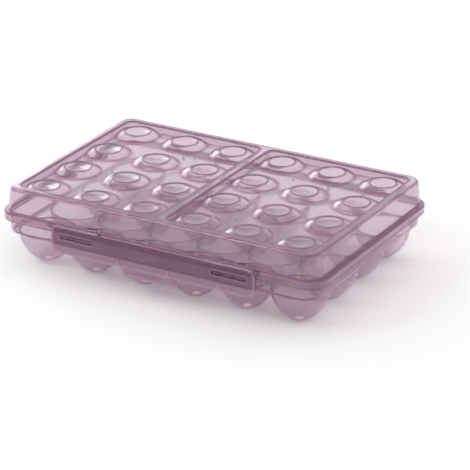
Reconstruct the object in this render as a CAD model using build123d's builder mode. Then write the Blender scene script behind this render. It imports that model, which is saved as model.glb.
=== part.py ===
from build123d import *
import os
from math import atan2, degrees, hypot

# Egg storage box: a clear tray with 24 cups, a clear lid on a rear hinge, and a tinted latch
# along the front. Millimetres, +Z up, X along the front, Y towards the hinge. The origin is on
# the table, under the middle of the closed box.

os.makedirs("parts", exist_ok=True)

# Overall sizes
box_length = 305.0
box_depth = 210.0
box_height = 69.0

# Cells: how many, and how far their grid stays inside the tub
columns = 6
rows = 4
cells_inset_x = 2.6
cells_inset_y = 0.4

# Wall thicknesses of the mouldings
wall = 1.2
skirt_wall = 1.4
latch_wall = 1.5

# Clearances between the mouldings
seat_gap = 0.3
skirt_gap = 0.4
latch_gap = 0.4
catch_gap = 0.3
pivot_gap = 0.05
end_gap = 0.3
sweep_gap = 0.3

# How near a face or an edge has to be to a level to be picked by it
touch = 0.01

# Tray: the cups and the tub above them
cup_spacing = 0.7
cup_full_level = 25.8
cup_shoulder_inset = 0.55
cup_shoulder_level = 21.5
cup_flank_inset = 5.25
cup_flank_level = 11.3
cup_nose_inset = 12.35
cup_nose_level = 3.8
cup_flat_radius = 3.5
cup_lip_radius = 0.8
tub_floor_under = 27.3
tub_inset_x = 5.3
tub_inset_y = 4.7
tub_corner = 14.0
tub_draft = 2.0
tub_edge_radius = 4.5

# Rim of the lid, which is also the widest part of the box
rim_overhang = 3.5
rim_corner = 18.5
rim_bottom = 40.5
rim_top = 47.7
rim_edge_radius = 1.1
rim_foot_radius = 0.5
tray_lip_height = 5.0

# Lid: the raised body, the two wells in its top and the domes in the wells
body_inset_x = 4.6
body_inset_y = 3.6
body_corner = 13.0
body_lean = 2.0
body_edge_radius = 3.8
body_foot_radius = 0.8
top_land = 7.4
well_floor_drop = 5.8
well_slope = 3.0
well_outer_corner = 9.0
well_inner_corner = 5.0
well_edge_radius = 0.7
well_foot_radius = 1.5
divider_width = 8.6
dome_radius = 19.4
dome_height = 4.1
dome_bulge = 0.9
dome_foot_radius = 2.0
dome_sink = 0.06
disc_radius = 11.6
disc_ring = 0.45
disc_dish = 1.0

# Front latch and the rods that it swings on
latch_length = 193.0
latch_bottom = 24.0
latch_corner = 8.0
latch_bend = 31.6
latch_flare = 1.6
latch_edge_radius = 1.1
tab_bottom = 17.6
tab_top_width = 58.0
tab_bottom_width = 50.0
tab_corner = 3.0
tab_root_radius = 1.5
latch_axis_out = 1.7
latch_axis_below_rim = 0.5
latch_barrel_radius = 1.8
latch_rod_radius = 0.95
latch_barrel_length = 46.2
latch_bead_radius = 1.3
latch_bead_drop = 0.3
cheek_radius = 1.6
cheek_width = 2.2
slot_length = 31.0
slot_height = 2.0
slot_from_end = 24.2
slot_level = 38.8
slot_edge_radius = 0.5
catch_thickness = 1.3
gusset_thickness = 1.2
gusset_height = 4.0

# Rear hinge
hinge_barrel_radius = 2.1
hinge_rod_radius = 1.1
hinge_barrel_length = 30.0
hinge_from_end = 80.2
hinge_level = 40.5
hinge_arm_thickness = 1.6
hinge_web_rise = 3.5

# Sizes that follow from the ones above
rim_length = box_length
rim_depth = box_depth - 2 * rim_overhang
rim_half = rim_depth / 2
floor_top = tub_floor_under + wall
flange_under = rim_top - wall
tray_rim_top = flange_under - seat_gap

tub_length = rim_length - 2 * tub_inset_x
tub_depth = rim_depth - 2 * tub_inset_y
tub_half_depth = tub_depth / 2
pitch_x = (tub_length - 2 * cells_inset_x) / columns
pitch_y = (tub_depth - 2 * cells_inset_y) / rows
cup_radius = (min(pitch_x, pitch_y) - cup_spacing) / 2
cup_shoulder_radius = cup_radius - cup_shoulder_inset
cup_flank_radius = cup_radius - cup_flank_inset
cup_nose_radius = cup_radius - cup_nose_inset

body_length = rim_length - 2 * body_inset_x
body_depth = rim_depth - 2 * body_inset_y
body_rise = box_height - rim_top
body_draft = degrees(atan2(body_lean, body_rise))
top_length = body_length - 2 * body_lean
top_depth = body_depth - 2 * body_lean
well_length = top_length / 2 - top_land - divider_width / 2
well_depth_y = top_depth - 2 * top_land
well_middle = divider_width / 2 + well_length / 2
well_taper = degrees(atan2(well_slope, well_floor_drop))
well_floor = box_height - well_floor_drop
well_skin = wall * hypot(well_slope, well_floor_drop) / well_floor_drop
dome_top = well_floor + dome_height

latch_axis_y = -(rim_half + latch_axis_out)
latch_axis_z = rim_top - latch_axis_below_rim
latch_back = -(rim_half + latch_gap)
latch_front = latch_back - latch_wall
barrel_outer_end = latch_length / 2
barrel_inner_end = barrel_outer_end - latch_barrel_length
bead_end = barrel_inner_end - 2 * end_gap - cheek_width
plate_top = latch_axis_z - latch_barrel_radius
slot_middle = barrel_outer_end - slot_from_end

hinge_axis_y = box_depth / 2 - hinge_barrel_radius
hinge_middle = rim_length / 2 - hinge_from_end

cells = GridLocations(pitch_x, pitch_y, columns, rows)


def inner_point(curve, share):
    """Point one wall thickness inside a curve of the cup's outer profile"""
    along = curve % share
    return (curve @ share) + wall * Vector(-abs(along.Y), abs(along.X))


def well_outline(well, side, spread):
    """Draw one well in its sketch, spread out all round, with tighter corners by the divider"""
    with Locations((side * well_middle, 0)):
        Rectangle(well_length + 2 * spread, well_depth_y + 2 * spread)
    fillet(well.vertices().sort_by(lambda corner: abs(corner.X))[:2], radius=well_inner_corner + spread)
    fillet(well.vertices().sort_by(lambda corner: abs(corner.X))[-2:], radius=well_outer_corner + spread)


# One cup, outside: oval towards the bottom, and cut flat where it stands on the table
with BuildPart() as cup_form:
    with BuildSketch(Plane.XZ):
        with BuildLine():
            Line((0, 0), (cup_flat_radius, 0))
            flank = ThreePointArc(
                (cup_nose_radius, cup_nose_level),
                (cup_flank_radius, cup_flank_level),
                (cup_shoulder_radius, cup_shoulder_level),
            )
            nose = TangentArc(flank @ 0, (cup_flat_radius, 0), tangent=(flank % 0) * -1)
            shoulder = TangentArc(flank @ 1, (cup_radius, cup_full_level), tangent=flank % 1)
            Line((cup_radius, cup_full_level), (cup_radius, floor_top))
            Line((cup_radius, floor_top), (0, floor_top))
            Line((0, floor_top), (0, 0))
        make_face()
    revolve(axis=Axis.Z)

# The same cup, inside: one wall thickness smaller, open at the top
with BuildPart() as cup_hollow:
    with BuildSketch(Plane.XZ):
        with BuildLine():
            floor_end = inner_point(nose, 1)
            wall_start = inner_point(shoulder, 1)
            inner_mouth = wall_start.X
            Line((0, floor_end.Y), floor_end)
            for curve in (nose, flank, shoulder):
                ThreePointArc(inner_point(curve, 0), inner_point(curve, 0.5), inner_point(curve, 1))
            Line(wall_start, (inner_mouth, floor_top + wall))
            Line((inner_mouth, floor_top + wall), (0, floor_top + wall))
            Line((0, floor_top + wall), (0, floor_end.Y))
        make_face()
    revolve(axis=Axis.Z)

# One dome of the lid, outside: a round bump with a crisp ring around a dished top, and a
# rounded foot that runs out a little under the floor of the well
dome_reach = dome_radius + dome_foot_radius + wall
ring_radius = disc_radius + disc_ring
ring_level = dome_top - disc_ring / 2
dome_level = well_floor - dome_sink
with BuildPart() as dome_form:
    with BuildSketch(Plane.XZ) as profile:
        with BuildLine():
            Line((0, well_floor - wall / 2), (dome_reach, well_floor - wall / 2))
            Line((dome_reach, well_floor - wall / 2), (dome_reach, dome_level))
            Line((dome_reach, dome_level), (dome_radius, dome_level))
            flank = SagittaArc((dome_radius, dome_level), (ring_radius, ring_level), -dome_bulge)
            Line(flank @ 1, (disc_radius, dome_top))
            TangentArc((0, dome_top - disc_dish), (disc_radius, dome_top), tangent=(1, 0))
            Line((0, dome_top - disc_dish), (0, well_floor - wall / 2))
        make_face()
        fillet(profile.vertices().sort_by_distance((dome_radius, dome_level))[0], radius=dome_foot_radius)
    revolve(axis=Axis.Z)

# The same dome, inside
with BuildPart() as dome_hollow:
    with BuildSketch(Plane.XZ) as profile:
        with BuildLine():
            inner_dome = dome_radius - wall / 2
            inner_disc = disc_radius - wall / 2
            Line((0, well_floor - 2 * wall), (dome_reach, well_floor - 2 * wall))
            Line((dome_reach, well_floor - 2 * wall), (dome_reach, dome_level - wall))
            Line((dome_reach, dome_level - wall), (inner_dome, dome_level - wall))
            SagittaArc((inner_dome, dome_level - wall), (inner_disc, dome_top - wall), -dome_bulge)
            TangentArc((0, dome_top - wall - disc_dish), (inner_disc, dome_top - wall), tangent=(1, 0))
            Line((0, dome_top - wall - disc_dish), (0, well_floor - 2 * wall))
        make_face()
        dome_foot = profile.vertices().sort_by_distance((inner_dome, dome_level - wall))[0]
        fillet(dome_foot, radius=dome_foot_radius + wall)
    revolve(axis=Axis.Z)

# Space inside the tub, taken out of the tray in one cut
with BuildPart() as tub_hollow:
    with BuildSketch(Plane.XY.offset(floor_top)):
        RectangleRounded(tub_length - 2 * wall, tub_depth - 2 * wall, tub_corner - wall)
    extrude(amount=tray_rim_top - floor_top, taper=-tub_draft)
    fillet(tub_hollow.edges().group_by(Axis.Z)[0], radius=tub_edge_radius - wall)

# Base tray: the tub, its turned-down rim and the cups hanging under its floor
with BuildPart() as base_tray:
    with BuildSketch(Plane.XY.offset(tub_floor_under)):
        RectangleRounded(tub_length, tub_depth, tub_corner)
    extrude(amount=tray_rim_top - tub_floor_under, taper=-tub_draft)
    fillet(base_tray.edges().group_by(Axis.Z)[0], radius=tub_edge_radius)

    # rim: a flat flange with a short lip turned down at its edge
    flange_inset = skirt_wall + skirt_gap
    tray_rim_length = rim_length - 2 * flange_inset
    tray_rim_depth = rim_depth - 2 * flange_inset
    with BuildSketch(Plane.XY.offset(tray_rim_top - wall)):
        RectangleRounded(tray_rim_length, tray_rim_depth, rim_corner - flange_inset)
    extrude(amount=wall)
    with BuildSketch(Plane.XY.offset(tray_rim_top - tray_lip_height)):
        RectangleRounded(tray_rim_length, tray_rim_depth, rim_corner - flange_inset)
        offset(amount=-wall, mode=Mode.SUBTRACT)
    extrude(amount=tray_lip_height)

    # cups
    with cells:
        add(cup_form.part)

    # hollow of the tub, then of each cup
    add(tub_hollow.part, mode=Mode.SUBTRACT)
    with cells:
        add(cup_hollow.part, mode=Mode.SUBTRACT)
    cup_mouths = (
        base_tray.edges()
        .filter_by(GeomType.CIRCLE)
        .filter_by_position(Axis.Z, floor_top - touch, floor_top + touch)
        .filter_by(lambda edge: abs(edge.radius - inner_mouth) < touch)
    )
    fillet(cup_mouths, radius=cup_lip_radius)

    # catch ribs that stand behind the latch's slots, each on three gussets
    catch_tip = latch_back + catch_gap
    catch_root = -tub_half_depth + wall / 2
    catch_length = slot_length - 2 * end_gap
    for side in (-1, 1):
        with BuildSketch(Plane.XY.offset(slot_level - catch_thickness / 2)):
            with Locations((side * slot_middle, (catch_tip + catch_root) / 2)):
                Rectangle(catch_length, catch_root - catch_tip)
        extrude(amount=catch_thickness)
        for step in (-1, 0, 1):
            gusset_x = side * slot_middle + step * (catch_length - gusset_thickness) / 2
            with BuildSketch(Plane.YZ.offset(gusset_x - gusset_thickness / 2)):
                with BuildLine():
                    Polyline(
                        (catch_root, slot_level),
                        (catch_tip + wall, slot_level),
                        (catch_root, slot_level - gusset_height),
                        close=True,
                    )
                make_face()
            extrude(amount=gusset_thickness)

    # rear hinge: two arms at each hinge, with a rod between them
    arm_top = rim_bottom - sweep_gap
    for side in (-1, 1):
        station = side * hinge_middle
        for hand in (-1, 1):
            arm_middle = station + hand * (hinge_barrel_length / 2 + end_gap + cheek_width / 2)
            with BuildSketch(Plane.YZ.offset(arm_middle - cheek_width / 2)):
                with Locations((hinge_axis_y, hinge_level)):
                    Circle(hinge_barrel_radius)
                with BuildLine():
                    Polyline(
                        (tub_half_depth - wall / 2, arm_top),
                        (hinge_axis_y, arm_top),
                        (hinge_axis_y, hinge_level - hinge_barrel_radius),
                        (tub_half_depth - wall / 2, arm_top - hinge_arm_thickness - hinge_barrel_radius),
                        close=True,
                    )
                make_face()
            extrude(amount=cheek_width)
        rod_length = hinge_barrel_length + 2 * end_gap + cheek_width
        with BuildSketch(Plane.YZ.offset(station - rod_length / 2)):
            with Locations((hinge_axis_y, hinge_level)):
                Circle(hinge_rod_radius)
        extrude(amount=rod_length)

base_tray.part.label = "base_tray"
export_step(base_tray.part, "parts/base_tray.step")

# Space inside the lid, taken out of it in one cut
with BuildPart() as lid_hollow:
    with BuildSketch(Plane.XY.offset(rim_bottom)):
        RectangleRounded(rim_length - 2 * skirt_wall, rim_depth - 2 * skirt_wall, rim_corner - skirt_wall)
    extrude(amount=flange_under - rim_bottom)
    with BuildSketch(Plane.XY.offset(rim_top)):
        RectangleRounded(body_length - 2 * wall, body_depth - 2 * wall, body_corner - wall)
    extrude(amount=body_rise - wall, taper=body_draft)
    fillet(lid_hollow.edges().group_by(Axis.Z)[-1], radius=body_edge_radius - wall)
    with BuildSketch(Plane.XY.offset(flange_under)):
        RectangleRounded(body_length - 2 * wall, body_depth - 2 * wall, body_corner - wall)
    extrude(amount=wall)
    for side in (-1, 1):
        with BuildSketch(Plane.XY.offset(box_height)) as well:
            well_outline(well, side, well_skin)
        extrude(amount=-(well_floor_drop + wall), taper=well_taper, mode=Mode.SUBTRACT)
    under = well_floor - wall
    well_undersides = lid_hollow.faces().filter_by_position(Axis.Z, under - touch, under + touch)
    fillet(well_undersides.edges(), radius=well_foot_radius + wall)
    with cells:
        add(dome_hollow.part)

# Lid: the skirt and flange, the raised body, the wells in its top and the domes
with BuildPart() as lid:
    with BuildSketch(Plane.XY.offset(rim_bottom)):
        RectangleRounded(rim_length, rim_depth, rim_corner)
    extrude(amount=rim_top - rim_bottom)
    fillet(lid.edges().group_by(Axis.Z)[-1], radius=rim_edge_radius)
    fillet(lid.edges().group_by(Axis.Z)[0], radius=rim_foot_radius)
    with BuildSketch(Plane.XY.offset(rim_top)):
        RectangleRounded(body_length, body_depth, body_corner)
    extrude(amount=body_rise, taper=body_draft)
    fillet(lid.edges().group_by(Axis.Z)[-1], radius=body_edge_radius)
    for side in (-1, 1):
        with BuildSketch(Plane.XY.offset(box_height)) as well:
            well_outline(well, side, 0)
        extrude(amount=-well_floor_drop, taper=well_taper, mode=Mode.SUBTRACT)
    land = lid.faces().sort_by(Axis.Z)[-1]
    fillet(land.inner_wires().edges(), radius=well_edge_radius)
    well_floors = lid.faces().filter_by_position(Axis.Z, well_floor - touch, well_floor + touch)
    fillet(well_floors.edges(), radius=well_foot_radius)
    flange = lid.faces().filter_by_position(Axis.Z, rim_top - touch, rim_top + touch)[0]
    fillet(flange.inner_wires().edges(), radius=body_foot_radius)
    with cells:
        add(dome_form.part)
    add(lid_hollow.part, mode=Mode.SUBTRACT)

    # groove along the front edge, which the latch's barrels turn in
    groove_length = latch_length + 2 * end_gap
    groove_back = latch_axis_y + latch_barrel_radius + sweep_gap
    groove_floor = latch_axis_z - latch_barrel_radius - sweep_gap
    with BuildSketch(Plane.XY.offset(groove_floor)):
        with Locations((0, groove_back)):
            Rectangle(groove_length, rim_overhang, align=(Align.CENTER, Align.MAX))
    extrude(amount=rim_top - groove_floor, mode=Mode.SUBTRACT)

    # two rods for the latch, each held between two cheeks that stand on the groove's wall
    for side in (-1, 1):
        outer_cheek = side * (barrel_outer_end + end_gap + cheek_width / 2)
        inner_cheek = side * (barrel_inner_end - end_gap - cheek_width / 2)
        for cheek_middle in (outer_cheek, inner_cheek):
            with BuildSketch(Plane.YZ.offset(cheek_middle - cheek_width / 2)):
                with Locations((latch_axis_y, latch_axis_z)):
                    Circle(cheek_radius)
                with BuildLine():
                    Polyline(
                        (groove_back + skirt_wall / 3, latch_axis_z - cheek_radius),
                        (groove_back + skirt_wall / 3, rim_top - rim_edge_radius),
                        (latch_axis_y, latch_axis_z + cheek_radius),
                        (latch_axis_y, latch_axis_z - cheek_radius),
                        close=True,
                    )
                make_face()
            extrude(amount=cheek_width)
        rod_start = min(outer_cheek, inner_cheek)
        with BuildSketch(Plane.YZ.offset(rod_start)):
            with Locations((latch_axis_y, latch_axis_z)):
                Circle(latch_rod_radius)
        extrude(amount=abs(outer_cheek - inner_cheek))

    # rear hinge: one barrel at each hinge, on a web from the skirt, and notches for the arms
    skirt_middle = rim_half - skirt_wall / 2
    for side in (-1, 1):
        station = side * hinge_middle
        with BuildSketch(Plane.YZ.offset(station - hinge_barrel_length / 2)):
            with Locations((hinge_axis_y, hinge_level)):
                Circle(hinge_barrel_radius)
            with BuildLine():
                Polyline(
                    (skirt_middle, hinge_level),
                    (skirt_middle, hinge_level + hinge_web_rise),
                    (rim_half, hinge_level + hinge_web_rise),
                    (hinge_axis_y + hinge_barrel_radius / 2, hinge_level + hinge_barrel_radius / 2),
                    (hinge_axis_y, hinge_level),
                    close=True,
                )
            make_face()
        extrude(amount=hinge_barrel_length)
        with BuildSketch(Plane.YZ.offset(station - hinge_barrel_length / 2)):
            with Locations((hinge_axis_y, hinge_level)):
                Circle(hinge_rod_radius + pivot_gap)
        extrude(amount=hinge_barrel_length, mode=Mode.SUBTRACT)
        for hand in (-1, 1):
            arm_middle = station + hand * (hinge_barrel_length / 2 + end_gap + cheek_width / 2)
            with BuildSketch(Plane.XY.offset(rim_bottom)):
                with Locations((arm_middle, rim_half)):
                    Rectangle(cheek_width + 2 * end_gap, 4 * skirt_wall)
            extrude(amount=hinge_barrel_radius + 2 * sweep_gap, mode=Mode.SUBTRACT)

lid.part.label = "lid"
export_step(lid.part, "parts/lid.step")

# Front latch: a tinted plate with a flared foot and a pull tab, two hinge barrels and a bead
with BuildPart() as front_latch:
    # side view of the plate, drawn out along the latch
    with BuildSketch(Plane.YZ.offset(-barrel_outer_end)):
        with BuildLine():
            Polyline(
                (latch_back, latch_axis_z),
                (latch_back, latch_bend),
                (latch_back - latch_flare, tab_bottom),
                (latch_front - latch_flare, tab_bottom),
                (latch_front, latch_bend),
                (latch_front, latch_axis_z),
                close=True,
            )
        make_face()
    extrude(amount=latch_length)

    # front view: rounded lower corners, the pull tab, and gaps for the cheeks at the top
    with BuildSketch(Plane.XZ.offset(rim_half)) as outline:
        with BuildLine():
            Polyline(
                (-barrel_outer_end, latch_axis_z),
                (-barrel_outer_end, latch_bottom),
                (-tab_top_width / 2, latch_bottom),
                (-tab_bottom_width / 2, tab_bottom),
                (tab_bottom_width / 2, tab_bottom),
                (tab_top_width / 2, latch_bottom),
                (barrel_outer_end, latch_bottom),
                (barrel_outer_end, latch_axis_z),
                close=True,
            )
        make_face()
        fillet(outline.vertices().group_by(Axis.Y)[1].sort_by(Axis.X)[0::3], radius=latch_corner)
        fillet(outline.vertices().group_by(Axis.Y)[1].sort_by(Axis.X)[1:3], radius=tab_root_radius)
        fillet(outline.vertices().group_by(Axis.Y)[0], radius=tab_corner)
        for side in (-1, 1):
            with Locations((side * (bead_end + barrel_inner_end) / 2, plate_top)):
                Rectangle(
                    barrel_inner_end - bead_end,
                    latch_axis_z - plate_top,
                    align=(Align.CENTER, Align.MIN),
                    mode=Mode.SUBTRACT,
                )
    extrude(amount=2 * rim_overhang, mode=Mode.INTERSECT)

    # rounded edge all round the front face, then the slots with a smaller one
    front = front_latch.faces().filter_by(lambda face: face.normal_at().Y < -0.9)
    around = front.edges().filter_by(lambda edge: edge.center().Z < plate_top)
    fillet(around.filter_by(lambda edge: edge.length < latch_length / 2), radius=latch_edge_radius)
    with BuildSketch(Plane.XZ.offset(rim_half)):
        for side in (-1, 1):
            with Locations((side * slot_middle, slot_level)):
                SlotOverall(slot_length, slot_height)
    extrude(amount=2 * rim_overhang, both=True, mode=Mode.SUBTRACT)
    front = front_latch.faces().filter_by(lambda face: face.normal_at().Y < -0.9)
    slot_edges = front.edges().filter_by_position(
        Axis.Z, slot_level - slot_height / 2 - touch, slot_level + slot_height / 2 + touch
    )
    fillet(slot_edges, radius=slot_edge_radius)

    # bead along the top between the cheeks
    with BuildSketch(Plane.YZ.offset(-bead_end)):
        with Locations(((latch_back + latch_front) / 2, latch_axis_z - latch_bead_drop)):
            Circle(latch_bead_radius)
    extrude(amount=2 * bead_end)

    # barrels, bored for the rods
    for barrel_start in (-barrel_outer_end, barrel_inner_end):
        with BuildSketch(Plane.YZ.offset(barrel_start)):
            with Locations((latch_axis_y, latch_axis_z)):
                Circle(latch_barrel_radius)
        extrude(amount=latch_barrel_length)
        with BuildSketch(Plane.YZ.offset(barrel_start)):
            with Locations((latch_axis_y, latch_axis_z)):
                Circle(latch_rod_radius + pivot_gap)
        extrude(amount=latch_barrel_length, mode=Mode.SUBTRACT)

front_latch.part.label = "front_latch"
export_step(front_latch.part, "parts/front_latch.step")
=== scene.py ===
from math import cos, radians, sin

import bpy
from mathutils import Matrix, Vector


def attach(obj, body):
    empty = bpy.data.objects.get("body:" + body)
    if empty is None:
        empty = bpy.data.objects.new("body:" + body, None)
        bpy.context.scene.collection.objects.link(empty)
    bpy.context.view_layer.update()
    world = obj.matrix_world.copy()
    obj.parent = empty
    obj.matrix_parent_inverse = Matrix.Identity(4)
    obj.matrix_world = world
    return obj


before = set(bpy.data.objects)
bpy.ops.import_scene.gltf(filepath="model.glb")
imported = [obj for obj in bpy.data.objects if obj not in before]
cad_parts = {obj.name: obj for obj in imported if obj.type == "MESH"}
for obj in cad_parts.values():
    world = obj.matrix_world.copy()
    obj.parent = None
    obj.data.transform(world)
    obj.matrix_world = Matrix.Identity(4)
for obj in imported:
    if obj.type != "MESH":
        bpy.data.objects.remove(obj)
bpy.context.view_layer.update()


# Base tray: one moulding of clear mauve plastic, a shallow tub with 24 cups hanging under it.
# It was injected hot into a polished mould, so it is glossy, with faint flow marks. Its tint shows
# little through one wall; along a rim, a bend or an edge the deeper colour is painted shade.
class Signal:
    """An output socket of a material, so that shader maths reads as plain expressions"""

    def __init__(self, tree, socket=None):
        self.tree = tree
        self.socket = socket

    def node(self, kind, settings=None, inputs=None, output=0):
        """Add a node: its settings come first, then each input is filled or linked"""
        made = self.tree.nodes.new(kind)
        for name, value in (settings or {}).items():
            setattr(made, name, value)
        for name, value in (inputs or {}).items():
            if isinstance(value, Signal):
                self.tree.links.new(value.socket, made.inputs[name])
            else:
                made.inputs[name].default_value = value
        if made.outputs:
            return Signal(self.tree, made.outputs[output])

    def maths(self, operation, first, second=0.0, clamp=False):
        settings = {"operation": operation, "use_clamp": clamp}
        return self.node("ShaderNodeMath", settings, {0: first, 1: second})

    def __add__(self, other):
        return self.maths("ADD", self, other)

    def __radd__(self, other):
        return self.maths("ADD", other, self)

    def __sub__(self, other):
        return self.maths("SUBTRACT", self, other)

    def __rsub__(self, other):
        return self.maths("SUBTRACT", other, self)

    def __mul__(self, other):
        return self.maths("MULTIPLY", self, other)

    def __rmul__(self, other):
        return self.maths("MULTIPLY", other, self)

    def __abs__(self):
        return self.maths("ABSOLUTE", self)

    def at_least(self, other):
        return self.maths("MAXIMUM", self, other)

    def at_most(self, other):
        return self.maths("MINIMUM", self, other)

    def root(self):
        return self.maths("SQRT", self)

    def fraction(self):
        return self.maths("FRACT", self)

    def near(self, level, width):
        """1 at this level, running out to 0 at this width on both sides of it"""
        return (1.0 - abs(self - level) * (1.0 / width)).at_least(0.0)

    def above(self, level, width):
        """0 below this level and 1 above it, with a ramp of this width across it"""
        return self.maths("MULTIPLY", self - (level - width / 2), 1.0 / width, clamp=True)

    def blend(self, colour, other):
        """This much of the other colour laid over a colour"""
        inputs = {"Factor": self, "A": colour, "B": other}
        return self.node("ShaderNodeMix", {"data_type": "RGBA"}, inputs, output=2)


def outline_distance(across, along, half_across, half_along, corner):
    """How far a point lies outside a rectangle with rounded corners, less than 0 inside it"""
    past_side = abs(across) - (half_across - corner)
    past_end = abs(along) - (half_along - corner)
    side, end = past_side.at_least(0.0), past_end.at_least(0.0)
    return (side * side + end * end).root() + past_side.at_least(past_end).at_most(0.0) - corner


def moulded_plastic(name, tint, streak, paint, painted_line_colour, depth, density, clearness, marks):
    """A glossy see-through plastic with flow marks and haze, less clear along painted lines of shade or
    highlight
    """
    material = bpy.data.materials.new(name)
    material.use_nodes = True
    tree = material.node_tree
    tree.nodes.clear()
    start = Signal(tree)
    place = start.node("ShaderNodeTexCoord", output="Object")
    x, y, z = (
        start.node("ShaderNodeSeparateXYZ", inputs={"Vector": place}, output=axis) for axis in range(3)
    )
    flow = start.node(
        "ShaderNodeTexNoise",
        inputs={"Vector": place, "Scale": 22.0, "Detail": 3.0, "Distortion": 0.8},
    )
    ripple = start.node("ShaderNodeTexNoise", inputs={"Vector": place, "Scale": 160.0, "Detail": 1.0})
    haze = start.node("ShaderNodeTexNoise", inputs={"Vector": place, "Scale": 420.0, "Detail": 4.0})
    swell = 0.8
    relief = start.node(
        "ShaderNodeBump",
        inputs={
            "Height": swell * flow + (1.0 - swell) * ripple,
            "Strength": marks,
            "Distance": 0.001,
        },
    )
    polish = 0.02
    dullness = 0.07
    gloss = {"Roughness": polish + dullness * haze, "IOR": 1.5, "Normal": relief}
    colour, painted_lines_mask = paint(flow.blend(tint, streak), x, y, z)
    walls = start.node(
        "ShaderNodeBsdfPrincipled",
        inputs={"Base Color": colour, "Transmission Weight": clearness, **gloss},
    )
    # painted lines: a less clear surface in the line colour, mixed in where the paint draws painted
    # shade or painted highlights
    painted_lines_surface = start.node(
        "ShaderNodeBsdfPrincipled",
        inputs={"Base Color": painted_line_colour, "Transmission Weight": 0.4, **gloss},
    )
    seen = start.node("ShaderNodeMixShader", inputs={0: painted_lines_mask, 1: walls, 2: painted_lines_surface})
    # light that falls through the walls still reaches the paper, so the shadow is pale and tinted
    through = start.node("ShaderNodeBsdfTransparent", inputs={"Color": tint})
    shadow = start.node("ShaderNodeLightPath", output="Is Shadow Ray")
    surface = start.node("ShaderNodeMixShader", inputs={0: shadow, 1: seen, 2: through})
    inside = start.node("ShaderNodeVolumeAbsorption", inputs={"Color": depth, "Density": density})
    start.node("ShaderNodeOutputMaterial", inputs={"Surface": surface, "Volume": inside})
    return material


clear_tint = (0.97, 0.938, 0.953, 1.0)
clear_streak = (0.955, 0.918, 0.938, 1.0)
# painted shade: the deeper colour laid on the rims of tray and lid
clear_rim_shade = (0.60, 0.33, 0.46, 1.0)
# painted shade: the dark plum of the lines drawn along creases, rings, brinks and edges
clear_shade_line = (0.40, 0.16, 0.32, 1.0)
clear_depth = (0.47, 0.12, 0.36, 1.0)
clear_density = 190.0

cup_pitch = 0.0482
cup_mouth_radius = 0.0230
cup_mouth_level = 0.0283
tub_foot_level = 0.0288
tub_floor_half_length = 0.1400
tub_floor_half_depth = 0.0900
tub_floor_corner = 0.0120
lip_start = 0.0395
catch_front = 0.1000
catch_level = 0.0388
# painted shade: near-black on the catch ribs, which darkens the latch's slots in front of them
catch_shade_colour = (0.12, 0.02, 0.09, 1.0)


def from_cell(x, y):
    """Distance to the upright axis of the nearest cup and dome"""
    across, along = (
        (axis * (1.0 / cup_pitch)).fraction() * cup_pitch - cup_pitch / 2 for axis in (x, y)
    )
    return (across * across + along * along).root()


def tray_paint(colour, x, y, z):
    """Painted shade: a deeper lip, near-black catch ribs, and dark lines round the tub's foot and the
    cups' mouths
    """
    # painted shade: a deeper lip, dark lines round the foot and the mouths, and near-black catch ribs
    lip_shade = 0.08 * z.above(lip_start, width=0.0010)
    off_floor = outline_distance(x, y, tub_floor_half_length, tub_floor_half_depth, tub_floor_corner)
    foot = z.near(tub_foot_level, width=0.0016) * off_floor.above(0.0, width=0.0020)
    catch_shade = (-1.0 * y).above(catch_front, width=0.0006) * z.near(catch_level, width=0.0020)
    mouth_shade_line = from_cell(x, y).near(cup_mouth_radius, width=0.0012) * z.near(cup_mouth_level, width=0.0020)
    shaded = catch_shade.blend(lip_shade.blend(colour, clear_rim_shade), catch_shade_colour)
    return shaded, (0.8 * foot).at_least(0.5 * mouth_shade_line)


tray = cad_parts["base_tray"]
tray.data.materials.clear()
tray.data.materials.append(
    moulded_plastic(
        "clear_plastic_tray",
        tint=clear_tint,
        streak=clear_streak,
        paint=tray_paint,
        painted_line_colour=clear_shade_line,
        depth=clear_depth,
        density=clear_density,
        clearness=0.97,
        marks=0.04,
    )
)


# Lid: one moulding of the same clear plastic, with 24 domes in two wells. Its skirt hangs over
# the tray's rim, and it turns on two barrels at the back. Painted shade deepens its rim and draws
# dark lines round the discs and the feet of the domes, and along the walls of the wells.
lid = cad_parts["lid"]
lid_top = max(corner[2] for corner in lid.bound_box)
rim_half_length = max(corner[0] for corner in lid.bound_box)
rim_bottom = 0.0405
rim_top = 0.0477
body_half_length = rim_half_length - 0.0046
body_half_depth = 0.0979
body_corner = 0.0139
body_lean = 0.0020
top_half_length = body_half_length - body_lean
top_half_depth = body_half_depth - body_lean
top_corner = 0.0120
land_width = 0.0074
divider_width = 0.0086
well_half_length = (top_half_length - land_width - divider_width / 2) / 2
well_half_depth = top_half_depth - land_width
well_middle = divider_width / 2 + well_half_length
well_corner = 0.0070
well_floor = lid_top - 0.0058
well_lean = 0.52
dome_foot_radius = 0.0198
dome_lean = 1.7
disc_edge_radius = 0.0115
disc_edge_start = 0.0655


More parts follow.
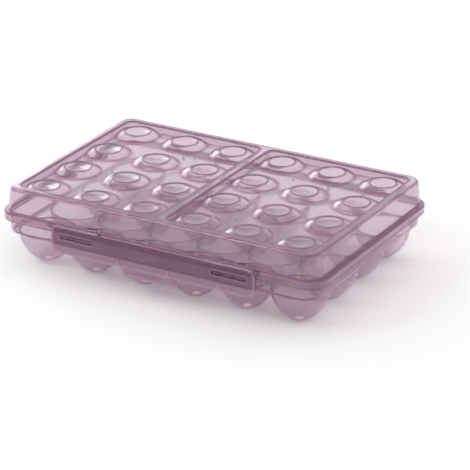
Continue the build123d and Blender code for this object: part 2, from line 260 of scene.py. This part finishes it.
def lid_paint(colour, x, y, z):
    """Painted shade: a deeper rim, and dark lines round the discs, the domes, the wells, the top and the
    rim
    """
    from_dome = from_cell(x, y)
    from_middle = abs(x) - well_middle
    off_well = outline_distance(from_middle, y, well_half_length, well_half_depth, well_corner)
    off_top = outline_distance(x, y, top_half_length, top_half_depth, top_corner)
    off_body = outline_distance(x, y, body_half_length, body_half_depth, body_corner)
    # painted shade: dark lines in the creases of walls, domes and well floors, round the discs, along
    # the brinks, the top edge, the rim's hems and the body's root, and a deeper rim
    floor = z.near(well_floor, width=0.0014)
    dome = (from_dome - dome_foot_radius + dome_lean * (z - well_floor)).near(0.0, width=0.0024)
    wall = (off_well + well_lean * (lid_top - z)).near(0.0, width=0.0024)
    crease_shade = (wall * dome).at_least(wall * floor).at_least(dome * floor).at_least(0.25 * wall)
    ring_shade = from_dome.near(disc_edge_radius, width=0.0015) * z.above(disc_edge_start, width=0.0010)
    brink_shade = off_well.near(0.0006, width=0.0019) * z.above(lid_top - 0.0020, width=0.0010)
    edge_shade = off_top.near(-0.0007, width=0.0018) * z.above(lid_top - 0.0028, width=0.0010)
    hem_shade = z.near(rim_bottom + 0.0003, width=0.0011).at_least(z.near(rim_top - 0.0003, width=0.0009))
    root = off_body.near(0.0, width=0.0013) * z.near(rim_top + 0.0002, width=0.0014)
    top_shade_lines = (0.85 * crease_shade).at_least(0.9 * ring_shade).at_least(0.95 * brink_shade).at_least(0.7 * edge_shade)
    rim_shade = 0.1 * (1.0 - z.above(rim_top + 0.0001, width=0.0008))
    return rim_shade.blend(colour, clear_rim_shade), top_shade_lines.at_least(0.85 * hem_shade.at_least(root))


lid.data.materials.clear()
lid.data.materials.append(
    moulded_plastic(
        "clear_plastic_lid",
        tint=clear_tint,
        streak=clear_streak,
        paint=lid_paint,
        painted_line_colour=clear_shade_line,
        depth=clear_depth,
        density=clear_density,
        clearness=0.97,
        marks=0.04,
    )
)


# Gate marks: four small frosted nubs on the floors of the wells, where the hot plastic ran into
# the lid's mould. They were snapped off there, so they are dull and a little greyer.
gate_mark_radius = 0.0011
gate_mark_height = 0.0006

frosted = bpy.data.materials.new("frosted_gate_marks")
frosted.use_nodes = True
frosted.node_tree.nodes.clear()
start = Signal(frosted.node_tree)
place = start.node("ShaderNodeTexCoord", output="Object")
grain = start.node("ShaderNodeTexNoise", inputs={"Vector": place, "Scale": 1800.0, "Detail": 2.0})
torn = start.node("ShaderNodeBump", inputs={"Height": grain, "Strength": 0.4, "Distance": 0.0002})
nub = start.node(
    "ShaderNodeBsdfPrincipled",
    inputs={
        "Base Color": grain.blend((0.34, 0.27, 0.31, 1.0), (0.52, 0.44, 0.49, 1.0)),
        "Roughness": 0.35 + 0.3 * grain,
        "Transmission Weight": 0.4,
        "Normal": torn,
    },
)
start.node("ShaderNodeOutputMaterial", inputs={"Surface": nub})

group = bpy.data.node_groups.new("gate_marks", "GeometryNodeTree")
group.interface.new_socket("Geometry", in_out="OUTPUT", socket_type="NodeSocketGeometry")
sockets = {
    name: group.interface.new_socket(name, in_out="INPUT", socket_type=kind).identifier
    for name, kind in (
        ("Spacing", "NodeSocketFloat"),
        ("Radius", "NodeSocketFloat"),
        ("Height", "NodeSocketFloat"),
        ("Place", "NodeSocketVector"),
        ("Finish", "NodeSocketMaterial"),
    )
}
values = group.nodes.new("NodeGroupInput")
grid = group.nodes.new("GeometryNodeMeshGrid")
grid.inputs["Vertices X"].default_value = 2
grid.inputs["Vertices Y"].default_value = 2
disc = group.nodes.new("GeometryNodeMeshCylinder")
disc.inputs["Vertices"].default_value = 32
spread = group.nodes.new("GeometryNodeInstanceOnPoints")
lift = group.nodes.new("GeometryNodeTransform")
solid = group.nodes.new("GeometryNodeRealizeInstances")
finish = group.nodes.new("GeometryNodeSetMaterial")
result = group.nodes.new("NodeGroupOutput")
for source, output, target, socket in (
    (values, "Spacing", grid, "Size X"),
    (values, "Spacing", grid, "Size Y"),
    (values, "Radius", disc, "Radius"),
    (values, "Height", disc, "Depth"),
    (values, "Place", lift, "Translation"),
    (values, "Finish", finish, "Material"),
    (grid, "Mesh", spread, "Points"),
    (disc, "Mesh", spread, "Instance"),
    (spread, "Instances", lift, "Geometry"),
    (lift, "Geometry", solid, "Geometry"),
    (solid, "Geometry", finish, "Geometry"),
    (finish, "Geometry", result, "Geometry"),
):
    group.links.new(source.outputs[output], target.inputs[socket])
gate_marks = bpy.data.objects.new("gate_marks", bpy.data.meshes.new("gate_marks"))
bpy.context.scene.collection.objects.link(gate_marks)
builder = gate_marks.modifiers.new("gate_marks", "NODES")
builder.node_group = group
builder[sockets["Spacing"]] = 2 * cup_pitch
builder[sockets["Radius"]] = gate_mark_radius
builder[sockets["Height"]] = gate_mark_height
builder[sockets["Place"]] = (0.0, 0.0, well_floor)
builder[sockets["Finish"]] = frosted
evaluated = gate_marks.evaluated_get(bpy.context.evaluated_depsgraph_get())
gate_marks_mesh = bpy.data.meshes.new_from_object(evaluated)
gate_marks.modifiers.clear()
gate_marks.data = gate_marks_mesh
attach(gate_marks, "cover")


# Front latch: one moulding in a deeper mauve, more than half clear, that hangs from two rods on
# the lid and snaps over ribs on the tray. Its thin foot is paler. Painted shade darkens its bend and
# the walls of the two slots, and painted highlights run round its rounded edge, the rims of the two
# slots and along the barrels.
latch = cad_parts["front_latch"]
latch_half_length = max(corner[0] for corner in latch.bound_box)
latch_top_colour = (0.36, 0.14, 0.29, 1.0)
latch_foot_colour = (0.62, 0.42, 0.54, 1.0)
# painted shade: dark plum along the bend and near-black on the slots' walls
latch_bend_shade_colour = (0.30, 0.12, 0.24, 1.0)
slot_shade_colour = (0.05, 0.01, 0.04, 1.0)
latch_foot_top = 0.0314
latch_bend_level = 0.0317
latch_top_start = 0.0425
# level of the painted highlight along the barrels
barrel_highlight_level = 0.0481
plate_middle = 0.0370
plate_half_height = 0.0130
plate_corner = 0.0080
tab_middle = 0.0224
tab_half_length = 0.0272
tab_half_height = 0.0048
tab_corner = 0.0030
slot_from_middle = 0.0723
slot_level = 0.0388
slot_half_length = 0.0155
slot_half_height = 0.0010
slot_corner = 0.00095


def latch_paint(colour, x, y, z):
    """Paler foot and deeper top, painted shade in the bend and the slots, painted highlights round the
    plate, slots and barrels
    """
    foot = 1.0 - z.above(latch_foot_top, width=0.0010)
    # painted shade: a dark line along the bend
    bend_shade = 0.8 * z.near(latch_bend_level, width=0.0007)
    top = z.above(latch_top_start, width=0.0030)
    off_plate = outline_distance(x, z - plate_middle, latch_half_length, plate_half_height, plate_corner)
    off_tab = outline_distance(x, z - tab_middle, tab_half_length, tab_half_height, tab_corner)
    off_slot = outline_distance(
        abs(x) - slot_from_middle, z - slot_level, slot_half_length, slot_half_height, slot_corner
    )
    # painted highlights: pale lines inside the plate's and tab's outline, round the slots' rims and
    # along the barrels
    edge_highlight = off_plate.at_most(off_tab).near(-0.0013, width=0.0018)
    # painted shade: near-black on the slots' walls
    slot_wall_shade = off_slot.near(0.0, width=0.0013)
    slot_rim_highlight = off_slot.near(0.0018, width=0.0007)
    barrel_highlight = z.near(barrel_highlight_level, width=0.0008)
    deep = top.blend(colour, latch_top_colour)
    pale = foot.blend(deep, latch_foot_colour)
    bent = bend_shade.blend(pale, latch_bend_shade_colour)
    slotted = slot_wall_shade.blend(bent, slot_shade_colour)
    return slotted, (0.6 * edge_highlight).at_least(0.4 * slot_rim_highlight).at_least(0.4 * barrel_highlight)


latch.data.materials.clear()
latch.data.materials.append(
    moulded_plastic(
        "tinted_plastic",
        tint=(0.45, 0.23, 0.37, 1.0),
        streak=(0.40, 0.20, 0.33, 1.0),
        paint=latch_paint,
        # pale colour of the latch's painted highlight lines
        painted_line_colour=(0.66, 0.42, 0.58, 1.0),
        depth=(0.42, 0.10, 0.33, 1.0),
        density=150.0,
        clearness=0.75,
        marks=0.05,
    )
)


# Backdrop: a wide sheet of white paper and a white room. Both look white to the camera and
# through or in the plastic, while the paper keeps the soft shadow and the light stays plain.
room_light = 0.85
paper_lift = 0.14
white = (1.0, 1.0, 1.0, 1.0)


def seen_directly(start):
    """1 on rays that show the backdrop: from the camera, mirrored, or through the plastic"""
    kinds = ("Camera", "Glossy", "Transmission")
    rays = [start.node("ShaderNodeLightPath", output=f"Is {kind} Ray") for kind in kinds]
    return (rays[0] + rays[1] + rays[2]).at_most(1.0)


world = bpy.data.worlds.new("white_room")
bpy.context.scene.world = world
world.use_nodes = True
world.node_tree.nodes.clear()
start = Signal(world.node_tree)
strength = room_light + (1.0 - room_light) * seen_directly(start)
sky = start.node("ShaderNodeBackground", inputs={"Color": white, "Strength": strength})
start.node("ShaderNodeOutputWorld", inputs={"Surface": sky})

paper = bpy.data.materials.new("white_paper")
paper.use_nodes = True
paper.node_tree.nodes.clear()
start = Signal(paper.node_tree)
sheet = start.node(
    "ShaderNodeBsdfPrincipled",
    inputs={
        "Base Color": (0.92, 0.92, 0.92, 1.0),
        "Roughness": 0.9,
        "Emission Color": white,
        "Emission Strength": paper_lift * seen_directly(start),
    },
)
start.node("ShaderNodeOutputMaterial", inputs={"Surface": sheet})
bpy.ops.mesh.primitive_plane_add(size=8.0)
floor = bpy.context.object
floor.name = "paper_floor"
floor.data.materials.append(paper)


# Lamps: a wide soft box behind the box's left end, which the domes and dishes mirror, and a
# smaller one at the front left, which draws a line of light along the lid's front edge.
middle_of_box = Vector((0.0, 0.0, 0.04))
lamps = {
    "window": {
        "azimuth": 242.0,
        "elevation": 15.0,
        "away": 3.0,
        "width": 2.6,
        "height": 1.4,
        "watts": 17.0,
    },
    "front": {
        "azimuth": -36.0,
        "elevation": 40.0,
        "away": 1.4,
        "width": 0.4,
        "height": 0.3,
        "watts": 3.0,
    },
}
for name, lamp in lamps.items():
    azimuth, elevation = radians(lamp["azimuth"]), radians(lamp["elevation"])
    towards = Vector((sin(azimuth) * cos(elevation), -cos(azimuth) * cos(elevation), sin(elevation)))
    light = bpy.data.lights.new(name, "AREA")
    light.shape = "RECTANGLE"
    light.size = lamp["width"]
    light.size_y = lamp["height"]
    light.energy = lamp["watts"]
    stand = bpy.data.objects.new(name, light)
    bpy.context.scene.collection.objects.link(stand)
    stand.location = middle_of_box + lamp["away"] * towards
    stand.rotation_euler = towards.to_track_quat("Z", "Y").to_euler()
    stand.visible_camera = False


# Camera: a long lens, from the front right and a little above, as the box was photographed. Its
# place, its aim and its length were fitted to the box's size and to the outlines of its parts.
azimuth, elevation, roll = radians(29.7457), radians(23.2293), radians(0.0446)
aim = Vector((0.0193456, 0.0, 0.0247805))
distance = 2.2165556
picture_width = 470.0
focal_length = 2645.65
sensor = 36.0
back = Vector((sin(azimuth) * cos(elevation), -cos(azimuth) * cos(elevation), sin(elevation)))
right = Vector((cos(azimuth), sin(azimuth), 0.0))
up = back.cross(right)
right, up = cos(roll) * right + sin(roll) * up, cos(roll) * up - sin(roll) * right
lens = bpy.data.cameras.new("camera")
lens.sensor_width = sensor
lens.lens = sensor * focal_length / picture_width
camera = bpy.data.objects.new("camera", lens)
bpy.context.scene.collection.objects.link(camera)
turn = Matrix((right, up, back)).transposed().to_4x4()
camera.matrix_world = Matrix.Translation(aim + distance * back) @ turn
bpy.context.scene.camera = camera


# Picture: plain colours, and enough bounces for light to cross every wall of the closed box,
# where the lid, the cups and the tub lie behind one another.
scene = bpy.context.scene
scene.view_settings.view_transform = "Standard"
scene.cycles.max_bounces = 40
scene.cycles.transmission_bounces = 36
scene.cycles.transparent_max_bounces = 36
scene.cycles.glossy_bounces = 8
scene.cycles.diffuse_bounces = 4
